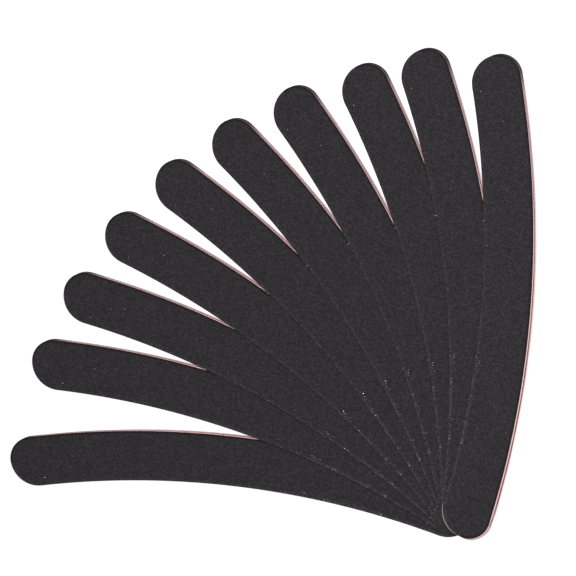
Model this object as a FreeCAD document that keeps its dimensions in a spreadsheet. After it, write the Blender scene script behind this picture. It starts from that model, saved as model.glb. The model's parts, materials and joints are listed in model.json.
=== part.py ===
import FreeCAD, Part
import math
import os

import Sketcher

# A set of ten curved emery boards, swivelled out into a fan about their stacked ends.
# Every board is a die-cut laminate: abrasive sheet, foam cushion, plastic core, and the same two
# layers in the other order below the core. Lengths are millimetres, angles degrees.

DRIVING_SIZES = (
    ("board_length", "178", "nose to nose along the chord, 7 in"),
    ("board_width", "18.5", "across the two long edges"),
    ("convex_radius", "353", "bow of the convex long edge"),
    ("nose_trim", "1.25", "how much tighter than half the width the end turns off the convex edge"),
    ("end_swell", "1.4", "how much wider than half the width the end sweeps into the concave edge"),
    ("abrasive_thickness", "0.5", "grit-coated paper on each face, with its adhesive coat"),
    ("foam_thickness", "1.2", "each of the two cushions, with its adhesive coat"),
    ("core_thickness", "1.1", "stiffening plastic strip"),
    ("stack_gap", "0.1", "air left between one board and the next"),
    ("stagger", "1.3", "how far the middle of the stack shifts from each board to the next"),
    ("stagger_heading", "31.5", "direction of that shift"),
    ("first_heading", "174", "direction in which the lowest board points"),
    ("swivel_02_angle", "13", "turn of each board from the one below it"),
    ("swivel_03_angle", "9.8", ""),
    ("swivel_04_angle", "9.8", ""),
    ("swivel_05_angle", "9.8", ""),
    ("swivel_06_angle", "9.5", ""),
    ("swivel_07_angle", "9.5", ""),
    ("swivel_08_angle", "9.8", ""),
    ("swivel_09_angle", "8.2", ""),
    ("swivel_10_angle", "9.4", ""),
    ("drawn_01", "5.7", "how far each board is drawn out of the stack along its own length"),
    ("drawn_02", "4.8", ""),
    ("drawn_03", "3.5", ""),
    ("drawn_04", "2.4", ""),
    ("drawn_05", "1.6", ""),
    ("drawn_06", "0.6", ""),
    ("drawn_07", "0.6", ""),
    ("drawn_08", "0.6", ""),
    ("drawn_09", "2.7", ""),
    ("drawn_10", "0.7", ""),
)

BOARD_COUNT = 10

# The fan lies on the lowest board's stacked end and on the free ends of two middle boards.
LOWEST_BOARD = "board_01"
RESTING_BOARDS = ("board_06", "board_07")

# Sizes that follow from the driving ones, as expressions on the sheet.
HALF_WIDTH = "Sizes.board_width / 2"
NOSE_RADIUS = "Sizes.board_width / 2 - Sizes.nose_trim"
END_RADIUS = "Sizes.board_width / 2 + Sizes.end_swell"
CONCAVE_RADIUS = "Sizes.convex_radius - Sizes.board_width"
HALF_SPAN = "(Sizes.board_length - Sizes.board_width) / 2"
BOW_CENTRE = f"sqrt((Sizes.convex_radius - {HALF_WIDTH}) ^ 2 - ({HALF_SPAN}) ^ 2)"
NOSE_REACH = f"Sizes.board_length / 2 - ({NOSE_RADIUS})"
FOAM_FLOOR = "Sizes.core_thickness / 2"
ABRASIVE_FLOOR = f"{FOAM_FLOOR} + Sizes.foam_thickness"
HALF_THICKNESS = f"{ABRASIVE_FLOOR} + Sizes.abrasive_thickness"
STACK_PITCH = f"2 * ({HALF_THICKNESS}) + Sizes.stack_gap"

# Each solid layer: its name on the board, its underside from the board's mid-plane, its thickness.
LAYERS = (
    ("top_abrasive", ABRASIVE_FLOOR, "Sizes.abrasive_thickness"),
    ("top_foam", FOAM_FLOOR, "Sizes.foam_thickness"),
    ("core", f"-({FOAM_FLOOR})", "Sizes.core_thickness"),
    ("bottom_foam", f"-({ABRASIVE_FLOOR})", "Sizes.foam_thickness"),
    ("bottom_abrasive", f"-({HALF_THICKNESS})", "Sizes.abrasive_thickness"),
)

VOLUME_TOLERANCE = 1e-6
UP = FreeCAD.Vector(0, 0, 1)


def make_sheet(doc):
    """Spreadsheet with one aliased cell for each driving size."""
    sheet = doc.addObject("Spreadsheet::Sheet", "Sizes")
    for row, (alias, number, note) in enumerate(DRIVING_SIZES, start=1):
        sheet.set(f"A{row}", alias)
        sheet.set(f"B{row}", number)
        sheet.set(f"C{row}", note)
        sheet.setAlias(f"B{row}", alias)
    doc.recompute()
    return sheet


def value(sheet, expression):
    """Number that an expression on the sheet comes to."""
    return float(sheet.evalExpression(expression))


def towards(start, end):
    """Unit vector from one point to another."""
    return (end - start).normalize()


def mirrored(point):
    """The same place at the other end of the board."""
    return FreeCAD.Vector(-point.x, point.y, point.z)


def arc_between(centre, radius, first, last):
    """Arc run counterclockwise about centre, from the first point's direction to the last's."""
    start = math.atan2(first.y - centre.y, first.x - centre.x)
    end = math.atan2(last.y - centre.y, last.x - centre.x)
    if end < start:
        end += 2 * math.pi
    return Part.ArcOfCircle(Part.Circle(centre, UP, radius), start, end)


def outline_arcs(sheet):
    """The six tangent arcs of a board: convex edge, nose and end, concave edge, end and nose.

    The board bows towards -Y. X runs along the chord through the two end centres, which lie
    half a width in from the ends, and the origin is midway between them.
    """
    convex = value(sheet, "Sizes.convex_radius")
    concave = value(sheet, CONCAVE_RADIUS)
    nose = value(sheet, NOSE_RADIUS)
    end = value(sheet, END_RADIUS)
    bow_centre = FreeCAD.Vector(0, value(sheet, BOW_CENTRE), 0)

    reach = value(sheet, NOSE_REACH)
    nose_drop = math.sqrt((convex - nose) ** 2 - reach ** 2)
    nose_centre = FreeCAD.Vector(reach, bow_centre.y - nose_drop, 0)

    # The end arc's centre is (concave + end) from the bow centre and (end - nose) from the nose's.
    far = convex - nose
    along = ((concave + end) ** 2 - (end - nose) ** 2 + far ** 2) / (2 * far)
    aside = math.sqrt((concave + end) ** 2 - along ** 2)
    outward = towards(bow_centre, nose_centre)
    hubward = outward.cross(UP)
    end_centre = bow_centre + outward * along + hubward * aside

    off_convex = bow_centre + outward * convex
    nose_to_end = nose_centre + towards(end_centre, nose_centre) * nose
    onto_concave = bow_centre + towards(bow_centre, end_centre) * concave

    return (
        arc_between(bow_centre, convex, mirrored(off_convex), off_convex),
        arc_between(nose_centre, nose, off_convex, nose_to_end),
        arc_between(end_centre, end, nose_to_end, onto_concave),
        arc_between(bow_centre, concave, mirrored(onto_concave), onto_concave),
        arc_between(mirrored(end_centre), end, mirrored(onto_concave), mirrored(nose_to_end)),
        arc_between(mirrored(nose_centre), nose, mirrored(nose_to_end), mirrored(off_convex)),
    )


def add_outline(sketch, sheet):
    """Draw the board outline in a sketch and tie every radius and centre to the sheet."""
    convex, nose, end, concave, hub_end, hub_nose = sketch.addGeometry(outline_arcs(sheet), False)
    start_point, end_point, centre_point = 1, 2, 3
    y_axis = -2

    joins = (
        (convex, end_point, nose, start_point),
        (nose, end_point, end, start_point),
        (end, end_point, concave, end_point),
        (concave, start_point, hub_end, start_point),
        (hub_end, end_point, hub_nose, start_point),
        (hub_nose, end_point, convex, start_point),
    )
    for join in joins:
        sketch.addConstraint(Sketcher.Constraint("Tangent", *join))

    sketch.addConstraint(Sketcher.Constraint("Coincident", convex, centre_point, concave, centre_point))
    sketch.addConstraint(Sketcher.Constraint("PointOnObject", convex, centre_point, y_axis))
    sketch.addConstraint(Sketcher.Constraint("Equal", nose, hub_nose))
    sketch.addConstraint(Sketcher.Constraint("Equal", end, hub_end))

    measures = (
        ("convex_radius", "Sizes.convex_radius", ("Radius", convex)),
        ("concave_radius", CONCAVE_RADIUS, ("Radius", concave)),
        ("nose_radius", NOSE_RADIUS, ("Radius", nose)),
        ("end_radius", END_RADIUS, ("Radius", end)),
        ("bow_centre", BOW_CENTRE, ("DistanceY", convex, centre_point)),
        ("nose_reach", NOSE_REACH, ("DistanceX", nose, centre_point)),
        ("hub_reach", f"-({NOSE_REACH})", ("DistanceX", hub_nose, centre_point)),
    )
    for name, expression, terms in measures:
        constraint = Sketcher.Constraint(*terms, value(sheet, expression))
        index = sketch.addConstraint(constraint)
        sketch.renameConstraint(index, name)
        sketch.setExpression(f"Constraints.{name}", expression)


def origin_plane(body):
    """The body's own horizontal plane, which is the board's mid-plane."""
    return next(plane for plane in body.Origin.OriginFeatures if plane.Role == "XY_Plane")


def make_layer(doc, sheet, board, name, floor, thickness):
    """One flat layer of a board, padded up from its floor above or below the mid-plane."""
    body = doc.addObject("PartDesign::Body", f"{board}_{name}")
    body.Label = body.Name
    sketch = body.newObject("Sketcher::SketchObject", f"{body.Name}_outline")
    sketch.AttachmentSupport = [(origin_plane(body), "")]
    sketch.MapMode = "FlatFace"
    sketch.setExpression("AttachmentOffset.Base.z", floor)
    add_outline(sketch, sheet)
    pad = body.newObject("PartDesign::Pad", f"{body.Name}_pad")
    pad.Profile = sketch
    pad.setExpression("Length", thickness)
    return body


def fan_placements(sheet):
    """Each board's name and where its mid-plane frame goes while the fan is level, lowest first."""
    shift_heading = math.radians(value(sheet, "Sizes.stagger_heading"))
    shift = FreeCAD.Vector(math.cos(shift_heading), math.sin(shift_heading), 0)
    step = shift * value(sheet, "Sizes.stagger") + UP * value(sheet, STACK_PITCH)
    half_span = value(sheet, HALF_SPAN)

    placements = {}
    heading = value(sheet, "Sizes.first_heading")
    for index in range(BOARD_COUNT):
        number = f"{index + 1:02d}"
        if index > 0:
            heading -= value(sheet, f"Sizes.swivel_{number}_angle")
        turned = FreeCAD.Placement(step * index, FreeCAD.Rotation(UP, heading))
        reach = FreeCAD.Vector(half_span + value(sheet, f"Sizes.drawn_{number}"), 0, 0)
        placements[f"board_{number}"] = turned * FreeCAD.Placement(reach, FreeCAD.Rotation())
    return placements


def leaning_placement(sheet, placements):
    """Lean that lays the fan on a table, with the lowest board's stacked end at the origin.

    The underside of that end and the free ends of the resting boards come level.
    """
    underside = -value(sheet, HALF_THICKNESS)
    half_span = value(sheet, HALF_SPAN)
    stacked_end = placements[LOWEST_BOARD].multVec(FreeCAD.Vector(-half_span, 0, underside))
    free_end = FreeCAD.Vector(half_span, 0, underside)
    first, second = (placements[board].multVec(free_end) - stacked_end for board in RESTING_BOARDS)
    lean = FreeCAD.Rotation(second.cross(first), UP)
    return FreeCAD.Placement(-lean.multVec(stacked_end), lean)


def make_boards(doc, sheet):
    """All the boards' layers, each a body in its place in the leaning fan."""
    placements = fan_placements(sheet)
    lean = leaning_placement(sheet, placements)
    bodies = []
    for board, placement in placements.items():
        for layer in LAYERS:
            body = make_layer(doc, sheet, board, *layer)
            body.Placement = lean * placement
            bodies.append(body)
    return bodies


def check_document(doc):
    """Stop if any object of the document failed to compute."""
    for item in doc.Objects:
        if "Invalid" in item.State or "Error" in item.State:
            raise RuntimeError(f"{item.Name} did not compute: {item.State}")


def check_volumes(bodies, sheet):
    """Stop if a piece isn't valid, or holds more or less than its outline times its thickness."""
    area = Part.Face(Part.Wire([arc.toShape() for arc in outline_arcs(sheet)])).Area
    thickness = {name: value(sheet, expression) for name, _, expression in LAYERS}
    for body in bodies:
        if body.Shape.isNull() or not body.Shape.isValid():
            raise RuntimeError(f"{body.Label} has no valid shape")
        layer = body.Label.split("_", 2)[2]
        expected = area * thickness[layer]
        if abs(body.Shape.Volume - expected) > VOLUME_TOLERANCE * expected:
            raise RuntimeError(f"{body.Label} holds {body.Shape.Volume}, not {expected}")


def main():
    doc = FreeCAD.newDocument("EmeryBoards")
    sheet = make_sheet(doc)
    bodies = make_boards(doc, sheet)
    doc.recompute()
    check_document(doc)
    check_volumes(bodies, sheet)
    os.makedirs("parts", exist_ok=True)
    for body in bodies:
        body.Shape.exportStep(f"parts/{body.Label}.step")
    print(len(bodies), "pieces written")


main()
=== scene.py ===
"""Looks of a fan of ten curved emery boards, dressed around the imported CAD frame.

Laid out as an add-on and run as a script. A board is a die-cut laminate: a grit sheet, a foam cushion,
a plastic core, and the same two layers in the other order below. Everything is in metres.
"""

import json
import math

import bpy
import numpy as np
from mathutils import Matrix, Vector

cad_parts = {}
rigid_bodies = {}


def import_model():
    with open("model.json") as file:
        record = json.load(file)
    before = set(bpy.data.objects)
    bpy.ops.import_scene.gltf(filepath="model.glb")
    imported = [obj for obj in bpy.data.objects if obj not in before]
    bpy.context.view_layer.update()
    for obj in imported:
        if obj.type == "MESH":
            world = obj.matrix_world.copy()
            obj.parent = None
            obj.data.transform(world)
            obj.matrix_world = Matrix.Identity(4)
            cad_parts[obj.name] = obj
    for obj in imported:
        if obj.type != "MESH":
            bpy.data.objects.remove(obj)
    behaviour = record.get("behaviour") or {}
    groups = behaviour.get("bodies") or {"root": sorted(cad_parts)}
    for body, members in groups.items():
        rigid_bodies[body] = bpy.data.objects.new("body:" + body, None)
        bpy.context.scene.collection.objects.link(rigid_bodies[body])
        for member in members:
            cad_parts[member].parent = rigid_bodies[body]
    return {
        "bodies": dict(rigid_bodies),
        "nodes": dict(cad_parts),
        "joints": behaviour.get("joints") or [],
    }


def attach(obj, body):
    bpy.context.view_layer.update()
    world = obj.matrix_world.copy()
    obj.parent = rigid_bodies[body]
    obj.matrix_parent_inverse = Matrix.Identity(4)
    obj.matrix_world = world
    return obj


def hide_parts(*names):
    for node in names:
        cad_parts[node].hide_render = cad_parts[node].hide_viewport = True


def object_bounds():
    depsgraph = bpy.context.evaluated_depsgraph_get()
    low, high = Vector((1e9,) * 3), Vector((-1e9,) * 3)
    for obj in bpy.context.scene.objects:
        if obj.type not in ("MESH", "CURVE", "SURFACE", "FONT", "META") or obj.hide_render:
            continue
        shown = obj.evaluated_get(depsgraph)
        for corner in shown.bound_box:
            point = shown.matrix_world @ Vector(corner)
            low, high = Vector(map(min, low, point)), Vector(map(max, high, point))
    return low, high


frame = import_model()
CAD_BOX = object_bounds()

bl_info = {
    "name": "Emery Board Fan",
    "version": (1, 0, 0),
    "blender": (4, 5, 0),
    "location": "View3D > Sidebar > Emery Boards",
    "description": "Dresses a fan of laminated emery boards with grit sheets, foam cushions and cores",
    "category": "Object",
}

MM = 0.001
WHITE = (1.0, 1.0, 1.0, 1.0)
BOARDS = sorted(frame["bodies"])
FACES = ("top", "bottom")

# Finishes of a grit sheet, by their place in its list of materials.
GRIT, CUT, GLINT = range(3)

# Attribute of a piece's points. On grit it is above 0 for the painted highlight and below 0 for painted
# shade;
# on foam and core it is the share of grey, painted shade at the stacked end and darker towards the free end.
TONE = "wear"

# How well a core of the CAD has to fit: cosine from which a facet counts as level, and millimetres by which
# its outline may miss.
LEVEL_COSINE = 0.99
OUTLINE_TOLERANCE = 0.05

# Points along each of the two rails that run round a board from the stacked end to the free end.
END_STEPS = 26
SIDE_STEPS = 92

# Columns of faces across the level middle of a grit sheet.
FACE_COLUMNS = 6

# Edge of a grit sheet, from its glued side out: share of its thickness, millimetres in from the outline.
SHEET_EDGE = ((0.0, 0.06), (0.12, 0.0), (0.5, 0.0), (0.7, 0.06), (0.82, 0.17), (0.89, 0.36))

# The knife leaves the walls between the first rings of that edge, and the others roll over into the face.
CUT_RINGS = 4

# Levels of the face and of the foot of the grains, as shares of the sheet's thickness.
SHEET_FACE = 0.92
GRAIN_FOOT = 0.88

# Face of a grit sheet, from the rim in: millimetres from the outline, share of the painted highlight, share
# of the painted shade.
FACE_RINGS = ((0.5, 1.0, 0.8), (0.8, 0.8, 0.3), (1.2, 0.35, 0.0), (1.7, 0.0, 0.0))

# Painted highlight where the concave rim catches the light: millimetres along the chord from mid-board,
# share.
RIM_HIGHLIGHT = ((-80, 0.45), (-60, 0.55), (-35, 0.65), (-15, 0.4), (15, 0.35), (45, 0.25), (80, 0.15))

# How many times stronger the painted highlight is on the sheet's edge than on the face beside it.
EDGE_HIGHLIGHT = 1.7

# Coated grains and small bare crystals: millimetres that they keep from the outline, and their least and
# greatest width as shares of the grain size.
GRAIN_MARGIN = 0.8
GRAIN_WIDTHS = (0.5, 1.1)
CRYSTAL_MARGIN = 0.6
CRYSTAL_WIDTHS = (0.25, 0.7)

# Crystals along the concave rim, flecks of its painted highlight: least distance from the outline in
# millimetres, and how much is added on average.
RIM_GAP = 0.35
RIM_SPREAD = 0.75

# Form of a grain: three to five sides, how far a corner strays as a share of the step between corners, the
# range of its turn in radians, of its corners' reach as a share of half its width, and how far its peak
# leans as a share of its width.
GRAIN_SIDES = (3, 6)
GRAIN_STRAY = 0.3
GRAIN_TURN = (0, 7)
GRAIN_REACH = (0.7, 1.2)
GRAIN_LEAN = 0.25

# Large bare crystals on every face, coloured as painted glints: millimetres along and across from mid-board,
# and in width.
CRYSTALS = (
    (-54, 3.4, 1.0), (65, -3.8, 0.5), (75, 5.4, 0.45), (-72, 7.4, 0.45), (-48, -2.3, 0.45), (28, 0.9, 0.45),
    (-24, -1, 0.5), (-25.2, -0.6, 0.4), (-23.1, -1.3, 0.45), (-26.4, -1.1, 0.4), (-32, 0.7, 0.4),
)

# Edge of a foam cushion, from the core out: share of its thickness, share of the bulge.
FOAM_EDGE = ((0.0, 0.0), (0.12, 0.12), (0.35, 0.45), (0.58, 0.85), (0.78, 1.0), (0.92, 0.8), (1.0, 0.35))

# The lower cushion bears the board's weight and swells by more.
LOWER_BULGE = 1.45

# Swell of the topmost board's stacked end: how many times more on the convex side, and the power that makes
# it blunt.
CONVEX_END = 1.7
END_BLUNTNESS = 0.7

# Unevenness of the foam's swell: mean share, range of each wave's share, cycles of the waves round a board.
MEAN_SWELL = 0.9
WAVE_SHARES = (0.02, 0.06)
WAVE_CYCLES = (3, 5, 8, 13, 21, 34)

# Seed of the first cushion, and the step from board to board. The grit sheets count their seeds from 0.
FOAM_SEED = 500
BOARD_SEED_STEP = 100

# Edge of a core, from its middle out: share of half its thickness, share of how far it stands proud.
CORE_EDGE = ((0.0, 1.0), (0.55, 1.0), (0.85, 0.8), (1.0, 0.2))

# How the edge changes along the convex and the concave rail: millimetres along the chord from mid-board,
# share of the foam's bulge, share of the core's stand, share of grey. The stack squeezes its end of a board
# and the knife pinches the tip; the grey is painted shade at the stacked end and darkens towards the free
# end.
BULGE, STAND, GREYNESS = 1, 2, 3
EDGE_SHARES = (
    (
        (-89, 0.2, 0.6, 0.25), (-79, 1.7, 2.8, 0.0), (-20, 1.3, 1.9, 0.0), (20, 1.0, 1.0, 0.03),
        (50, 0.4, 0.0, 0.25), (76, 0.2, -0.8, 0.37), (83, -0.9, -1.2, 0.9), (89, -0.9, -1.2, 1.0),
    ),
    ((-89, 0.2, 0.6, 0.25), (60, 0.2, 0.6, 0.25), (84, -0.9, -1.2, 0.9), (89, -0.9, -1.2, 1.0)),
)

# Patterns on a grit sheet, in millimetres: patches of the painted rim highlight, clumps of fibre at the cut,
# and facets of the crystals, which are drawn coarser than real ones, as the grains are.
PATCH_SIZE = 1.6
FIBRE_SIZE = 0.3
FACET_SIZE = 0.8

# Power on the grains' random shades that leaves few of them pale.
PALE_POWER = 2.2

# Scale of the core's streaks along each axis: the knife draws them out up the cut.
STREAK_SCALE = (1.0, 1.0, 0.12)

# Sockets of a Mix node that count when it mixes colours.
MIX_SHARE, MIX_FIRST, MIX_SECOND, MIX_RESULT = 0, 6, 7, 2

# Half the floor's width, the softbox's width and its distance from the target, in metres.
FLOOR_REACH = 6.0
SOFTBOX_SIZE = 0.2
SOFTBOX_DISTANCE = 1.5

# The camera's sensor in millimetres, and the nearest and furthest that it sees, in metres.
SENSOR_WIDTH = 36.0
CLIP_START = 0.1
CLIP_END = 50.0


def linear(hex_colour):
    """sRGB hex turned into the linear red, green and blue that shaders take."""
    channels = (int(hex_colour[i:i + 2], 16) / 255 for i in (1, 3, 5))
    return tuple(c / 12.92 if c <= 0.04045 else ((c + 0.055) / 1.055) ** 2.4 for c in channels)


def length(name, description, millimetres):
    """A length the user can change, given in millimetres."""
    return bpy.props.FloatProperty(
        name=name, description=description, default=millimetres * MM, min=0.0, precision=5, unit="LENGTH"
    )


def colour(name, description, hex_colour):
    """A colour the user can change, given as sRGB hex."""
    return bpy.props.FloatVectorProperty(
        name=name, description=description, default=linear(hex_colour), size=3, min=0.0, max=1.0,
        subtype="COLOR",
    )


def amount(name, description, number):
    """A number of things that the user can change."""
    return bpy.props.IntProperty(name=name, description=description, default=number, min=0)


class EmeryBoardSizes(bpy.types.PropertyGroup):
    """Outline and layers of one board."""

    board_length: length("Length", "Nose to nose along the chord", 178)
    board_width: length("Width", "Across the two long edges", 18.5)
    convex_radius: length("Convex radius", "Bow of the convex long edge", 353)
    nose_trim: length(
        "Nose trim", "How much tighter than half the width the end turns off the convex edge", 1.25
    )
    end_swell: length(
        "End swell", "How much wider than half the width the end sweeps into the concave edge", 1.4
    )
    sheet_thickness: length("Sheet thickness", "Grit, resin and paper of one face", 0.5)
    foam_thickness: length("Foam thickness", "One cushion between sheet and core", 1.2)
    core_thickness: length("Core thickness", "Plastic strip in the middle", 1.1)


class EmeryGritFinish(bpy.types.PropertyGroup):
    """Grit sheets on both faces."""

    grit_colour: colour("Grit", "Resin-coated grit of the face", "#242226")
    pale_grit_colour: colour("Pale grit", "Lightest coated grains", "#3D3A3E")
    # Painted highlight: paler grit where the concave rim catches the light.
    highlight_colour: colour("Rubbed grit", "Grit rubbed pale along the concave rim", "#6C6769")
    # The cut edge's own colour, also mixed onto the rim and the face beside it as painted shade.
    cut_edge_and_shade_colour: colour("Cut edge", "Paper edge left by the knife", "#20100F")
    # Painted glints: the bare crystals' pale colours, whitest where facets meet.
    glint_colour: colour("Crystals", "Bare crystals in the middle of a facet", "#A5A1A2")
    facet_glint_colour: colour("Flashes", "Bare crystals where facets meet", "#F2EFED")
    grain_size: length("Grain size", "Width of one coated grain as drawn", 0.42)
    coated_grains: amount("Proud grains", "Coated grains that stand up from each face", 900)
    rim_crystals: amount("Rim crystals", "Small bare crystals along each concave rim", 150)
    stray_crystals: amount("Stray crystals", "Small bare crystals over the rest of each face", 40)


class EmeryFoamFinish(bpy.types.PropertyGroup):
    """Foam cushions under the sheets."""

    foam_colour: colour("Foam", "Skin of the cut foam", "#F5D0D1")
    cell_colour: colour("Cells", "Shaded inside of the opened cells", "#DFAFB2")
    # Grey on the cut foam and core edges: painted shade at the stacked end, darker towards the free end.
    grey_colour: colour("Dust", "Grinding dust on the cut edge near the free end", "#3A3638")
    cell_size: length("Cell size", "Width of one foam cell", 0.22)
    bulge: length("Bulge", "How far the cut edge swells beyond the sheets", 0.28)
    end_bulge: length(
        "End bulge", "How much further it swells round the stacked end of the topmost board", 0.36
    )


class EmeryCoreFinish(bpy.types.PropertyGroup):
    """Plastic core strips."""

    core_colour: colour("Core", "Plastic of the strip", "#80343E")
    streak_colour: colour("Streaks", "Drag marks of the knife on the cut edge", "#64252E")
    streak_width: length("Streak width", "Spacing of the drag marks", 0.25)
    stand: length("Stand", "How far the cut edge stands proud", 0.2)


class EmeryStudio(bpy.types.PropertyGroup):
    """Floor, lights and camera."""

    floor_colour: colour("Floor", "Plain sweep under the boards", "#A8A8A8")
    floor_glow: bpy.props.FloatProperty(
        name="Floor glow", description="Light that the lit-through floor gives by itself",
        default=0.9, min=0.0,
    )
    dome: bpy.props.FloatProperty(
        name="Dome", description="Strength of the white surroundings", default=0.1, min=0.0
    )
    softbox: bpy.props.FloatProperty(
        name="Softbox", description="Power of the round light in the direction of the camera",
        default=16.8, min=0.0, unit="POWER",
    )
    target: bpy.props.FloatVectorProperty(
        name="Target", description="Point in the middle of the picture",
        default=(-0.059812, 0.083171, -0.006452), size=3, precision=6, subtype="TRANSLATION", unit="LENGTH",
    )
    direction: bpy.props.FloatVectorProperty(
        name="Direction", description="From the target towards the camera",
        default=(0.312218, 0.309736, 0.898100), size=3, precision=6, subtype="XYZ",
    )
    upright: bpy.props.FloatVectorProperty(
        name="Upright", description="Direction that points up in the picture",
        default=(-0.030226, 0.948118, -0.316478), size=3, precision=6, subtype="XYZ",
    )
    distance: length("Distance", "From the target to the camera", 4000)
    focal_length: bpy.props.FloatProperty(
        name="Focal length", description="Lens of the camera", default=677.57, min=1.0, unit="CAMERA"
    )


def arc(centre, radius, first, last, steps, facing=1):
    """Points on the short arc about a centre, from one point's direction to another's, and normals."""
    start, end = (math.atan2(*(point - centre)[::-1]) for point in (first, last))
    turn = (end - start + math.pi) % (2 * math.pi) - math.pi
    angles = start + turn * np.linspace(0, 1, steps + 1)
    spokes = np.column_stack((np.cos(angles), np.sin(angles)))
    return centre + radius * spokes, facing * spokes


def joined(arcs):
    """Arcs that follow on from each other as one run of points and one of normals."""
    return tuple(np.vstack([arcs[0][k]] + [a[k][1:] for a in arcs[1:]]) for k in (0, 1))


def board_rails(sizes):
    """Convex and concave rail of a board: points and outward normals from the stacked end to the free end.

    X runs along the chord, from the stacked end to the free end, and the board bows towards -Y. The rails
    share their first and last points and have as many points as each other.
    """
    half_width = sizes.board_width / 2
    nose, end = half_width - sizes.nose_trim, half_width + sizes.end_swell
    convex, concave = sizes.convex_radius, sizes.convex_radius - sizes.board_width
    half_span = (sizes.board_length - sizes.board_width) / 2
    bow_centre = np.array((0.0, math.sqrt((convex - half_width) ** 2 - half_span ** 2)))

    far = convex - nose
    reach = sizes.board_length / 2 - nose
    nose_centre = np.array((reach, bow_centre[1] - math.sqrt(far ** 2 - reach ** 2)))
    along = ((concave + end) ** 2 - (end - nose) ** 2 + far ** 2) / (2 * far)
    aside = math.sqrt((concave + end) ** 2 - along ** 2)
    outward = (nose_centre - bow_centre) / far
    end_centre = bow_centre + outward * along + np.array((outward[1], -outward[0])) * aside

    off_convex = bow_centre + outward * convex
    apex = nose_centre + (nose_centre - end_centre) / (end - nose) * nose
    onto_concave = bow_centre + (end_centre - bow_centre) / (concave + end) * concave
    there = np.array((-1.0, 1.0))

    convex_rail = joined((
        arc(nose_centre * there, nose, apex * there, off_convex * there, END_STEPS),
        arc(bow_centre, convex, off_convex * there, off_convex, SIDE_STEPS),
        arc(nose_centre, nose, off_convex, apex, END_STEPS),
    ))
    concave_rail = joined((
        arc(end_centre * there, end, apex * there, onto_concave * there, END_STEPS),
        arc(bow_centre, concave, onto_concave * there, onto_concave, SIDE_STEPS, facing=-1),
        arc(end_centre, end, onto_concave, apex, END_STEPS),
    ))
    return convex_rail, concave_rail


def looped(convex, concave):
    """Rows of the two rails as one loop: out along the convex rail and back along the concave one."""
    return np.concatenate((convex, concave[-2:0:-1]))


def outline_loop(rails):
    """Points and normals of the closed outline, counterclockwise."""
    points, normals = (looped(convex, concave) for convex, concave in zip(*rails))
    return points, normals


def edge_shares(rails, column):
    """One column of the edge shares at each point of the closed outline."""
    convex, concave = (
        np.interp(points[:, 0], [row[0] * MM for row in table], [row[column] for row in table])
        for (points, _), table in zip(rails, EDGE_SHARES)
    )
    return looped(convex, concave)


def rim_highlight(concave):
    """How strong the painted highlight is at each point of the concave rail."""
    along, shares = zip(*RIM_HIGHLIGHT)
    return np.interp(concave[:, 0], np.array(along) * MM, shares)


class Shape:
    """Points, faces, finishes and smoothing of one piece, in the frame of its board.

    A finish is the place of a face's material in the piece's list.
    """

    def __init__(self):
        self.points, self.wear, self.faces, self.finishes, self.smooth = [], [], [], [], []

    def add_points(self, points, wear=0.0):
        """Add points with their wear, and give back their numbers."""
        first = len(self.points)
        self.points.extend(map(tuple, points))
        self.wear.extend(np.broadcast_to(wear, len(self.points) - first).tolist())
        return list(range(first, len(self.points)))

    def add_face(self, corners, finish=0, smooth=True):
        """Add a face, as a triangle where two corners are the same point."""
        self.faces.append(tuple(dict.fromkeys(corners)))
        self.finishes.append(finish)
        self.smooth.append(smooth)

    def add_ring(self, loop, inset, height, wear=0.0):
        """Add the outline, moved in from the edge, at a height."""
        points, normals = loop
        flat = points - normals * np.broadcast_to(inset, len(points))[:, None]
        return self.add_points(np.column_stack((flat, np.full(len(flat), height))), wear)

    def add_wall(self, lower, upper, finish=0):
        """Join two rings by a wall that faces out."""
        for i in range(len(lower)):
            j = (i + 1) % len(lower)
            self.add_face((lower[i], lower[j], upper[j], upper[i]), finish)

    def add_lid(self, ring, columns=1, up=True, finish=0):
        """Close a ring with rungs from rail to rail, each cut into columns."""
        half = len(ring) // 2
        rows = []
        for i in range(half + 1):
            near, far = ring[i], ring[-i]
            row = [near] * columns + [far]
            if near != far and columns > 1:
                start, stop = np.array(self.points[near]), np.array(self.points[far])
                row[1:-1] = self.add_points(start + (stop - start) * k / columns for k in range(1, columns))
            rows.append(row)
        for i in range(half):
            for k in range(columns):
                face = (rows[i][k], rows[i + 1][k], rows[i + 1][k + 1], rows[i][k + 1])
                if len(set(face)) > 2:
                    self.add_face(face if up else face[::-1], finish)

    def add_layer(self, rings):
        """Make a closed layer from rings that follow on from each other, the lowest first."""
        self.add_lid(rings[0], up=False)
        for lower, upper in zip(rings[:-1], rings[1:]):
            self.add_wall(lower, upper)
        self.add_lid(rings[-1])

    def piece(self, name, place, turned, materials):
        """Make the object, with its points in the frame's axes; turned puts it on the board's underside."""
        side = Matrix.Scale(-1, 4, (0, 0, 1)) if turned else Matrix.Identity(4)
        matrix = np.array(place @ side)
        points = np.array(self.points) @ matrix[:3, :3].T + matrix[:3, 3]
        faces = [face[::-1] for face in self.faces] if turned else self.faces
        mesh = bpy.data.meshes.new(name)
        mesh.from_pydata(points.tolist(), [], faces)
        for material in materials:
            mesh.materials.append(material)
        mesh.polygons.foreach_set("material_index", self.finishes)
        mesh.polygons.foreach_set("use_smooth", self.smooth)
        mesh.attributes.new(TONE, "FLOAT", "POINT").data.foreach_set("value", self.wear)
        if mesh.validate():
            raise RuntimeError(f"{name} has faces that can't be used")
        made = bpy.data.objects.new(name, mesh)
        bpy.context.scene.collection.objects.link(made)
        return made


def mesh_points(mesh):
    """A mesh's points as an array."""
    points = np.empty(3 * len(mesh.vertices))
    mesh.vertices.foreach_get("co", points)
    return points.reshape(-1, 3)


def area_centre(loop):
    """Centre of the area inside a closed loop of points."""
    ahead = np.roll(loop, -1, axis=0)
    cross = loop[:, 0] * ahead[:, 1] - ahead[:, 0] * loop[:, 1]
    return ((loop + ahead) * cross[:, None]).sum(0) / (3 * cross.sum())


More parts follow.
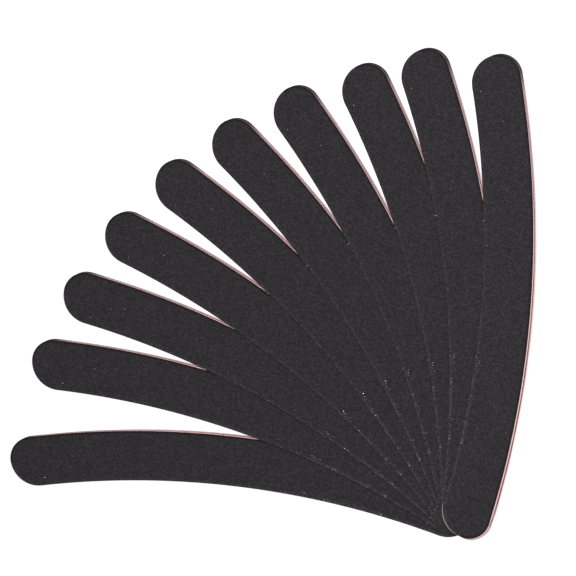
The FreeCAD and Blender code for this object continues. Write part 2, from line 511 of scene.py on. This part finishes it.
def board_place(board, sizes):
    """Where a board's own frame lies, read from the long axis and the bow of its core in the CAD."""
    core = frame["nodes"][f"{board}_core"].data
    core.calc_loop_triangles()
    corners = np.array([[core.vertices[v].co for v in t.vertices] for t in core.loop_triangles])
    up = np.array(frame["joints"][0]["axis"], float)
    up /= np.linalg.norm(up)
    areas = np.cross(corners[:, 1] - corners[:, 0], corners[:, 2] - corners[:, 0]) / 2
    flat = np.abs(areas @ up) > LEVEL_COSINE * np.linalg.norm(areas, axis=1)
    corners, weights = corners[flat], np.linalg.norm(areas[flat], axis=1)

    # A triangle's second moments are in proportion to those of its corners and its tripled middle.
    middles = corners.mean(axis=1)
    centroid = weights @ middles / weights.sum()
    spread = np.concatenate((corners - centroid, 3 * (middles - centroid)[:, None]), axis=1)
    moments = np.einsum("t,tki,tkj->ij", weights, spread, spread)
    along = np.linalg.eigh(moments)[1][:, -1]
    along -= up * (along @ up)
    along /= np.linalg.norm(along)
    across = np.cross(up, along)
    reach = (mesh_points(core) - centroid) @ np.column_stack((along, across))
    if (reach[:, 0] ** 2 * reach[:, 1]).sum() < 0:
        along, across = -along, -across

    points = outline_loop(board_rails(sizes))[0]
    origin = centroid - across * area_centre(points)[1]
    place = np.eye(4)
    place[:3, 0], place[:3, 1], place[:3, 2], place[:3, 3] = along, across, up, origin
    found = (mesh_points(core) - origin) @ np.column_stack((along, across))
    gap = max(np.abs(found.min(0) - points.min(0)).max(), np.abs(found.max(0) - points.max(0)).max())
    if gap > OUTLINE_TOLERANCE * MM:
        raise RuntimeError(f"{board}: the outline misses its core by {gap / MM:.3f} mm")
    return Matrix(place.tolist())


def scatter(rails, count, margin, random):
    """Points spread evenly over the face inside the rails, at least margin from the edge."""
    (convex, convex_normals), (concave, concave_normals) = rails
    near, far = convex - convex_normals * margin, concave - concave_normals * margin
    middles = (near + far) / 2
    steps = np.linalg.norm(np.diff(middles, axis=0), axis=1)
    widths = np.linalg.norm(far - near, axis=1)
    areas = steps * (widths[1:] + widths[:-1])
    rows = random.choice(len(areas), count, p=areas / areas.sum())
    share, across = random.random(count)[:, None], random.random(count)[:, None]
    start = near[rows] + (near[rows + 1] - near[rows]) * share
    stop = far[rows] + (far[rows + 1] - far[rows]) * share
    return start + (stop - start) * across


def rim_scatter(rails, count, random):
    """Points along the concave rim, thickest where the painted highlight is strongest and close to the edge.
    """
    concave, normals = rails[1]
    steps = np.append(np.linalg.norm(np.diff(concave, axis=0), axis=1), 0.0) * rim_highlight(concave) ** 2
    steps[:END_STEPS], steps[-END_STEPS:] = 0.0, 0.0
    rows = random.choice(len(steps), count, p=steps / steps.sum())
    ahead = concave[np.minimum(rows + 1, len(concave) - 1)]
    spots = concave[rows] + (ahead - concave[rows]) * random.random((count, 1))
    return spots - normals[rows] * (RIM_GAP + random.exponential(RIM_SPREAD, (count, 1))) * MM


def add_grain(shape, spot, width, foot, peak, finish, random):
    """One grain of grit: a low, uneven pyramid, closed below and sunk into the sheet."""
    sides = random.integers(*GRAIN_SIDES)
    stray = random.uniform(-GRAIN_STRAY, GRAIN_STRAY, sides)
    angles = 2 * math.pi * (np.arange(sides) + stray) / sides + random.uniform(*GRAIN_TURN)
    reach = width / 2 * random.uniform(*GRAIN_REACH, sides)
    base = [(spot[0] + r * math.cos(a), spot[1] + r * math.sin(a), foot) for a, r in zip(angles, reach)]
    lean = random.uniform(-GRAIN_LEAN, GRAIN_LEAN, 2) * width
    ring = shape.add_points(base)
    (top,) = shape.add_points([(spot[0] + lean[0], spot[1] + lean[1], peak)])
    for i in range(sides):
        shape.add_face((ring[i], ring[(i + 1) % sides], top), finish, smooth=False)
    shape.add_face(ring[::-1], finish, smooth=False)


def add_node(material, kind, inputs=None, **settings):
    """Add a node, with its settings, and set or link its inputs by name or number."""
    tree = material.node_tree
    node = tree.nodes.new(kind)
    for name, setting in settings.items():
        setattr(node, name, setting)
    for key, source in (inputs or {}).items():
        if isinstance(source, bpy.types.NodeSocket):
            tree.links.new(source, node.inputs[key])
        else:
            node.inputs[key].default_value = source
    return node


def new_material(name):
    """A material whose node tree is still empty."""
    material = bpy.data.materials.new(name)
    material.use_nodes = True
    material.node_tree.nodes.clear()
    return material


def finish_material(material, **inputs):
    """Put a Principled surface on a material, with its inputs set or linked."""
    named = {key.replace("_", " ").title().replace("Ior", "IOR"): value for key, value in inputs.items()}
    surface = add_node(material, "ShaderNodeBsdfPrincipled", named)
    add_node(material, "ShaderNodeOutputMaterial", {"Surface": surface.outputs["BSDF"]})
    return material


def opaque(rgb):
    """A colour with full alpha, as colour sockets take it."""
    return (*rgb, 1.0)


def mixed(material, share, first, second):
    """Colour at a share of the way from the first to the second."""
    inputs = {MIX_SHARE: share, MIX_FIRST: first, MIX_SECOND: second}
    return add_node(material, "ShaderNodeMix", inputs, data_type="RGBA").outputs[MIX_RESULT]


def grit_material(look):
    """Black silicon carbide, electrostatically coated on paper and sized with resin.

    To the eye it is an even charcoal with a fine, sharp grain and no gloss: each grain has its own shade,
    and the pits between grains swallow light. Real 180 grit is 0.08 mm wide, far under a pixel, so the
    grain is drawn about five times coarser to show.
    """
    material = new_material("silicon carbide grit, resin-bonded on paper")
    place = add_node(material, "ShaderNodeTexCoord").outputs["Object"]
    grains = add_node(material, "ShaderNodeTexVoronoi", {"Vector": place, "Scale": 1 / look.grain_size})
    shade = add_node(material, "ShaderNodeSeparateColor", {"Color": grains.outputs["Color"]})
    pick = add_node(
        material, "ShaderNodeMath", {0: shade.outputs["Red"], 1: PALE_POWER}, operation="POWER"
    )
    tint = mixed(material, pick.outputs[0], opaque(look.grit_colour), opaque(look.pale_grit_colour))
    # Above 0 the tone paints a highlight on the concave rim; below 0 it paints shade on the rest of the rim.
    wear = add_node(material, "ShaderNodeAttribute", attribute_name=TONE).outputs["Fac"]
    patches = add_node(
        material, "ShaderNodeTexNoise", {"Vector": place, "Scale": 1 / (PATCH_SIZE * MM), "Detail": 2.0}
    )
    patchy = add_node(
        material, "ShaderNodeMapRange",
        {"Value": patches.outputs[0], "From Min": 0.3, "From Max": 0.7, "To Min": 0.15, "To Max": 0.75},
    )
    highlight = add_node(
        material, "ShaderNodeMath", {0: wear, 1: patchy.outputs[0]}, operation="MULTIPLY", use_clamp=True
    )
    grainy = add_node(
        material, "ShaderNodeMath", {0: highlight.outputs[0], 1: shade.outputs["Blue"]}, operation="MULTIPLY"
    )
    highlighted = mixed(material, grainy.outputs[0], tint, opaque(look.highlight_colour))
    # Painted shade: the cut colour on the rim away from the concave side.
    painted_shade = add_node(
        material, "ShaderNodeMath", {0: wear, 1: -1.0}, operation="MULTIPLY", use_clamp=True
    )
    coat = mixed(material, painted_shade.outputs[0], highlighted, opaque(look.cut_edge_and_shade_colour))
    rough = add_node(
        material, "ShaderNodeMapRange", {"Value": shade.outputs["Green"], "To Min": 0.62, "To Max": 0.9}
    )
    relief = add_node(
        material, "ShaderNodeBump",
        {"Height": grains.outputs["Distance"], "Strength": 0.5, "Distance": 0.12 * MM}, invert=True,
    )
    return finish_material(
        material, base_color=coat, roughness=rough.outputs[0], normal=relief.outputs[0],
        ior=1.55, specular_ior_level=0.22,
    )


def cut_edge_material(look):
    """Resin-soaked black paper at the knife cut: nearly black, dull, with a short fibrous grain."""
    material = new_material("resin-soaked paper, die-cut")
    place = add_node(material, "ShaderNodeTexCoord").outputs["Object"]
    fibres = add_node(
        material, "ShaderNodeTexNoise", {"Vector": place, "Scale": 1 / (FIBRE_SIZE * MM), "Detail": 3.0}
    )
    tint = mixed(material, fibres.outputs[0], opaque(look.cut_edge_and_shade_colour), opaque(look.grit_colour))
    relief = add_node(
        material, "ShaderNodeBump", {"Height": fibres.outputs[0], "Strength": 0.4, "Distance": 0.05 * MM}
    )
    return finish_material(
        material, base_color=tint, normal=relief.outputs[0],
        roughness=0.85, ior=1.5, specular_ior_level=0.12,
    )


def glint_crystal_material(look):
    """Silicon carbide crystal that the resin has not wetted: glassy facets with painted grey-white glints.
    """
    material = new_material("silicon carbide crystal, painted glints")
    place = add_node(material, "ShaderNodeTexCoord").outputs["Object"]
    facets = add_node(material, "ShaderNodeTexVoronoi", {"Vector": place, "Scale": 1 / (FACET_SIZE * MM)})
    tint = mixed(
        material, facets.outputs["Distance"], opaque(look.glint_colour), opaque(look.facet_glint_colour)
    )
    return finish_material(material, base_color=tint, roughness=0.28, ior=2.4)


def greyed(material, tint, grey_colour):
    """A tint greyed by the share each point of the piece gives: painted shade at the stacked end, darker
    towards the free end.
    """
    greyness = add_node(material, "ShaderNodeAttribute", attribute_name=TONE).outputs["Fac"]
    return mixed(material, greyness, tint, opaque(grey_colour))


def foam_material(look):
    """EVA foam, die-cut: a pale, chalky pink whose opened cells leave small shaded pits and no gloss."""
    material = new_material("EVA foam, die-cut")
    place = add_node(material, "ShaderNodeTexCoord").outputs["Object"]
    cells = add_node(material, "ShaderNodeTexVoronoi", {"Vector": place, "Scale": 1 / look.cell_size})
    pits = add_node(
        material, "ShaderNodeMapRange",
        {
            "Value": cells.outputs["Distance"],
            "From Min": 0.0, "From Max": 0.45, "To Min": 0.8, "To Max": 0.0,
        },
    )
    tint = mixed(material, pits.outputs[0], opaque(look.foam_colour), opaque(look.cell_colour))
    relief = add_node(
        material, "ShaderNodeBump",
        {"Height": cells.outputs["Distance"], "Strength": 0.5, "Distance": 0.06 * MM},
    )
    return finish_material(
        material, base_color=greyed(material, tint, look.grey_colour), normal=relief.outputs[0],
        roughness=0.9, ior=1.48, specular_ior_level=0.3,
    )


def core_material(look, grey_colour):
    """Polystyrene strip, die-cut: rose plastic, satin on the cut, dragged into fine upright streaks."""
    material = new_material("polystyrene, die-cut")
    place = add_node(material, "ShaderNodeTexCoord").outputs["Object"]
    stretched = add_node(material, "ShaderNodeMapping", {"Vector": place, "Scale": STREAK_SCALE})
    streaks = add_node(
        material, "ShaderNodeTexNoise",
        {"Vector": stretched.outputs[0], "Scale": 1 / look.streak_width, "Detail": 2.0},
    )
    tint = mixed(material, streaks.outputs[0], opaque(look.core_colour), opaque(look.streak_colour))
    rough = add_node(
        material, "ShaderNodeMapRange", {"Value": streaks.outputs[0], "To Min": 0.38, "To Max": 0.6}
    )
    relief = add_node(
        material, "ShaderNodeBump", {"Height": streaks.outputs[0], "Strength": 0.3, "Distance": 0.03 * MM}
    )
    return finish_material(
        material, base_color=greyed(material, tint, grey_colour), roughness=rough.outputs[0],
        normal=relief.outputs[0], ior=1.59,
    )


class EMERY_OT_grit_sheets(bpy.types.Operator):
    """Make the grit sheets on the two faces of every board"""

    bl_idname = "emery.grit_sheets"
    bl_label = "Grit Sheets"

    def execute(self, context):
        sizes, look = context.scene.emery_sizes, context.scene.emery_grit
        materials = (grit_material(look), cut_edge_material(look), glint_crystal_material(look))
        shapes = [self.sheet(sizes, look, np.random.default_rng(seed)) for seed in range(len(FACES))]
        for board in BOARDS:
            place = board_place(board, sizes)
            for side, shape in zip(FACES, shapes):
                piece = shape.piece(f"{board}_{side}_grit_sheet", place, side == "bottom", materials)
                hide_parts(f"{board}_{side}_abrasive")
                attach(piece, board)
        return {"FINISHED"}

    @staticmethod
    def sheet(sizes, look, random):
        """A sheet with its grains: a cut edge rolls into a level face, with painted highlight and shade
        along the rim.
        """
        shape = Shape()
        rails = board_rails(sizes)
        loop = outline_loop(rails)
        thick = sizes.sheet_thickness
        floor = sizes.core_thickness / 2 + sizes.foam_thickness
        (convex, _), (concave, _) = rails
        # Painted highlight along the concave rim, painted shade along the rest of the rim.
        highlight = looped(np.zeros(len(convex)), rim_highlight(concave))
        painted_shade = (highlight == 0).astype(float)

        rings = [
            shape.add_ring(loop, inset * MM, floor + thick * share, highlight * EDGE_HIGHLIGHT - painted_shade)
            for share, inset in SHEET_EDGE
        ]
        shape.add_lid(rings[0], up=False, finish=CUT)
        for lower, upper in zip(rings[:CUT_RINGS - 1], rings[1:CUT_RINGS]):
            shape.add_wall(lower, upper, finish=CUT)
        face = floor + thick * SHEET_FACE
        inner = [
            shape.add_ring(loop, inset * MM, face, highlight * highlighted - painted_shade * shade_share)
            for inset, highlighted, shade_share in FACE_RINGS
        ]
        for outside, inside in zip((*rings[CUT_RINGS - 1:], *inner[:-1]), (*rings[CUT_RINGS:], *inner)):
            shape.add_wall(outside, inside)
        shape.add_lid(inner[-1], columns=FACE_COLUMNS)

        foot, top = floor + thick * GRAIN_FOOT, floor + thick
        for spot in scatter(rails, look.coated_grains, GRAIN_MARGIN * MM, random):
            width = look.grain_size * random.uniform(*GRAIN_WIDTHS)
            add_grain(shape, spot, width, foot, random.uniform(face, top), GRIT, random)
        strays = scatter(rails, look.stray_crystals, CRYSTAL_MARGIN * MM, random)
        for spot in (*strays, *rim_scatter(rails, look.rim_crystals, random)):
            width = look.grain_size * random.uniform(*CRYSTAL_WIDTHS)
            add_grain(shape, spot, width, foot, random.uniform(face, top), GLINT, random)
        for along, across, width in CRYSTALS:
            add_grain(shape, (along * MM, across * MM), width * MM, foot, top, GLINT, random)
        return shape


class EMERY_OT_foam_cushions(bpy.types.Operator):
    """Make the foam cushions on both sides of every core"""

    bl_idname = "emery.foam_cushions"
    bl_label = "Foam Cushions"

    def execute(self, context):
        sizes, look = context.scene.emery_sizes, context.scene.emery_foam
        materials = (foam_material(look),)
        rails = board_rails(sizes)
        loop = outline_loop(rails)
        bulges, greyness = edge_shares(rails, BULGE), edge_shares(rails, GREYNESS)
        squeeze = self.squeeze(len(greyness))
        floor = sizes.core_thickness / 2
        for number, board in enumerate(BOARDS):
            place = board_place(board, sizes)
            for side in FACES:
                seed = FOAM_SEED + BOARD_SEED_STEP * number + FACES.index(side)
                swell = self.uneven(len(greyness), np.random.default_rng(seed)) * bulges * look.bulge
                if side == "bottom":
                    swell *= LOWER_BULGE
                if board == BOARDS[-1]:
                    swell += squeeze * look.end_bulge
                shape = Shape()
                rings = [
                    shape.add_ring(loop, -swell * share, floor + sizes.foam_thickness * height, greyness)
                    for height, share in FOAM_EDGE
                ]
                shape.add_layer(rings)
                piece = shape.piece(f"{board}_{side}_foam_cushion", place, side == "bottom", materials)
                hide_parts(f"{board}_{side}_foam")
                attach(piece, board)
        return {"FINISHED"}

    @staticmethod
    def squeeze(count):
        """Share of the end bulge at each point: with no board on it, the end swells beside its tip."""
        share = np.zeros(count)
        swell = np.sin(np.linspace(0, math.pi, END_STEPS)) ** END_BLUNTNESS
        share[:END_STEPS], share[-END_STEPS:] = CONVEX_END * swell, swell[::-1]
        return share

    @staticmethod
    def uneven(count, random):
        """Share of the bulge at each point round the outline: soft foam never springs back evenly."""
        turn = np.linspace(0, 2 * math.pi, count, endpoint=False)
        waves = sum(
            random.uniform(*WAVE_SHARES) * np.sin(cycles * turn + random.uniform(0, 2 * math.pi))
            for cycles in WAVE_CYCLES
        )
        return MEAN_SWELL + waves


class EMERY_OT_plastic_cores(bpy.types.Operator):
    """Make the core strip of every board"""

    bl_idname = "emery.plastic_cores"
    bl_label = "Plastic Cores"

    def execute(self, context):
        sizes, look = context.scene.emery_sizes, context.scene.emery_core
        material = core_material(look, context.scene.emery_foam.grey_colour)
        rails = board_rails(sizes)
        loop, greyness = outline_loop(rails), edge_shares(rails, GREYNESS)
        stand = edge_shares(rails, STAND) * look.stand
        half = sizes.core_thickness / 2
        profile = [(-height, share) for height, share in CORE_EDGE[:0:-1]] + list(CORE_EDGE)
        shape = Shape()
        rings = [
            shape.add_ring(loop, -np.where(stand > 0, stand * share, stand), height * half, greyness)
            for height, share in profile
        ]
        shape.add_layer(rings)
        for board in BOARDS:
            piece = shape.piece(f"{board}_plastic_core", board_place(board, sizes), False, (material,))
            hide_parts(f"{board}_core")
            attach(piece, board)
        return {"FINISHED"}


class EMERY_OT_stage(bpy.types.Operator):
    """Lay the floor, hang the lights and set up the camera"""

    bl_idname = "emery.stage"
    bl_label = "Stage"

    def execute(self, context):
        studio = context.scene.emery_studio
        self.floor(context, studio)
        self.lights(context, studio)
        self.camera(context, studio)
        context.scene.view_settings.view_transform = "Standard"
        return {"FINISHED"}

    @staticmethod
    def floor(context, studio):
        """A wide white sweep, lit through from below so that it keeps almost no shadow."""
        level = CAD_BOX[0].z
        square = ((-1, -1), (1, -1), (1, 1), (-1, 1))
        mesh = bpy.data.meshes.new("floor")
        mesh.from_pydata([(x * FLOOR_REACH, y * FLOOR_REACH, level) for x, y in square], [], [(0, 1, 2, 3)])
        material = new_material("opal acrylic sheet, lit through")
        mesh.materials.append(finish_material(
            material, base_color=opaque(studio.floor_colour), roughness=0.9, specular_ior_level=0.0,
            emission_color=WHITE, emission_strength=studio.floor_glow,
        ))
        floor = bpy.data.objects.new("floor", mesh)
        context.scene.collection.objects.link(floor)

    @staticmethod
    def lights(context, studio):
        """A white dome and a round softbox in the camera's direction: shadows hide behind the boards."""
        world = bpy.data.worlds.new("white studio")
        world.use_nodes = True
        background = world.node_tree.nodes["Background"]
        background.inputs["Color"].default_value = WHITE
        background.inputs["Strength"].default_value = studio.dome
        context.scene.world = world
        lamp = bpy.data.lights.new("softbox", "AREA")
        lamp.shape, lamp.size, lamp.energy = "DISK", SOFTBOX_SIZE, studio.softbox
        box = bpy.data.objects.new("softbox", lamp)
        towards = Vector(studio.direction).normalized()
        box.location = Vector(studio.target) + SOFTBOX_DISTANCE * towards
        box.rotation_mode = "QUATERNION"
        box.rotation_quaternion = towards.to_track_quat("Z", "Y")
        context.scene.collection.objects.link(box)

    @staticmethod
    def camera(context, studio):
        """The camera of the picture: far off, looking steeply down through a long lens."""
        lens = bpy.data.cameras.new("camera")
        lens.lens, lens.sensor_width = studio.focal_length, SENSOR_WIDTH
        lens.clip_start, lens.clip_end = CLIP_START, CLIP_END
        back = Vector(studio.direction).normalized()
        side = Vector(studio.upright).cross(back).normalized()
        up = back.cross(side)
        camera = bpy.data.objects.new("camera", lens)
        axes = Matrix((side, up, back)).transposed().to_4x4()
        axes.translation = Vector(studio.target) + back * studio.distance
        camera.matrix_world = axes
        context.scene.collection.objects.link(camera)
        context.scene.camera = camera


class EMERY_PT_boards(bpy.types.Panel):
    """Sizes, finishes and steps of the emery board fan"""

    bl_idname = "EMERY_PT_boards"
    bl_label = "Emery Boards"
    bl_space_type = "VIEW_3D"
    bl_region_type = "UI"
    bl_category = "Emery Boards"

    def draw(self, context):
        for group, operator in STEPS:
            box = self.layout.box()
            for holder in group:
                settings = getattr(context.scene, holder)
                for name in settings.__annotations__:
                    box.prop(settings, name)
            box.operator(operator)


STEPS = (
    (("emery_sizes", "emery_grit"), "emery.grit_sheets"),
    (("emery_foam",), "emery.foam_cushions"),
    (("emery_core",), "emery.plastic_cores"),
    (("emery_studio",), "emery.stage"),
)
SETTINGS = {
    "emery_sizes": EmeryBoardSizes,
    "emery_grit": EmeryGritFinish,
    "emery_foam": EmeryFoamFinish,
    "emery_core": EmeryCoreFinish,
    "emery_studio": EmeryStudio,
}
CLASSES = (
    *SETTINGS.values(),
    EMERY_OT_grit_sheets,
    EMERY_OT_foam_cushions,
    EMERY_OT_plastic_cores,
    EMERY_OT_stage,
    EMERY_PT_boards,
)


def register():
    for item in CLASSES:
        bpy.utils.register_class(item)
    for name, group in SETTINGS.items():
        setattr(bpy.types.Scene, name, bpy.props.PointerProperty(type=group))


def unregister():
    for name in SETTINGS:
        delattr(bpy.types.Scene, name)
    for item in reversed(CLASSES):
        bpy.utils.unregister_class(item)


def main():
    register()
    bpy.ops.emery.grit_sheets()
    bpy.ops.emery.foam_cushions()
    bpy.ops.emery.plastic_cores()
    bpy.ops.emery.stage()


if __name__ == "__main__":
    main()
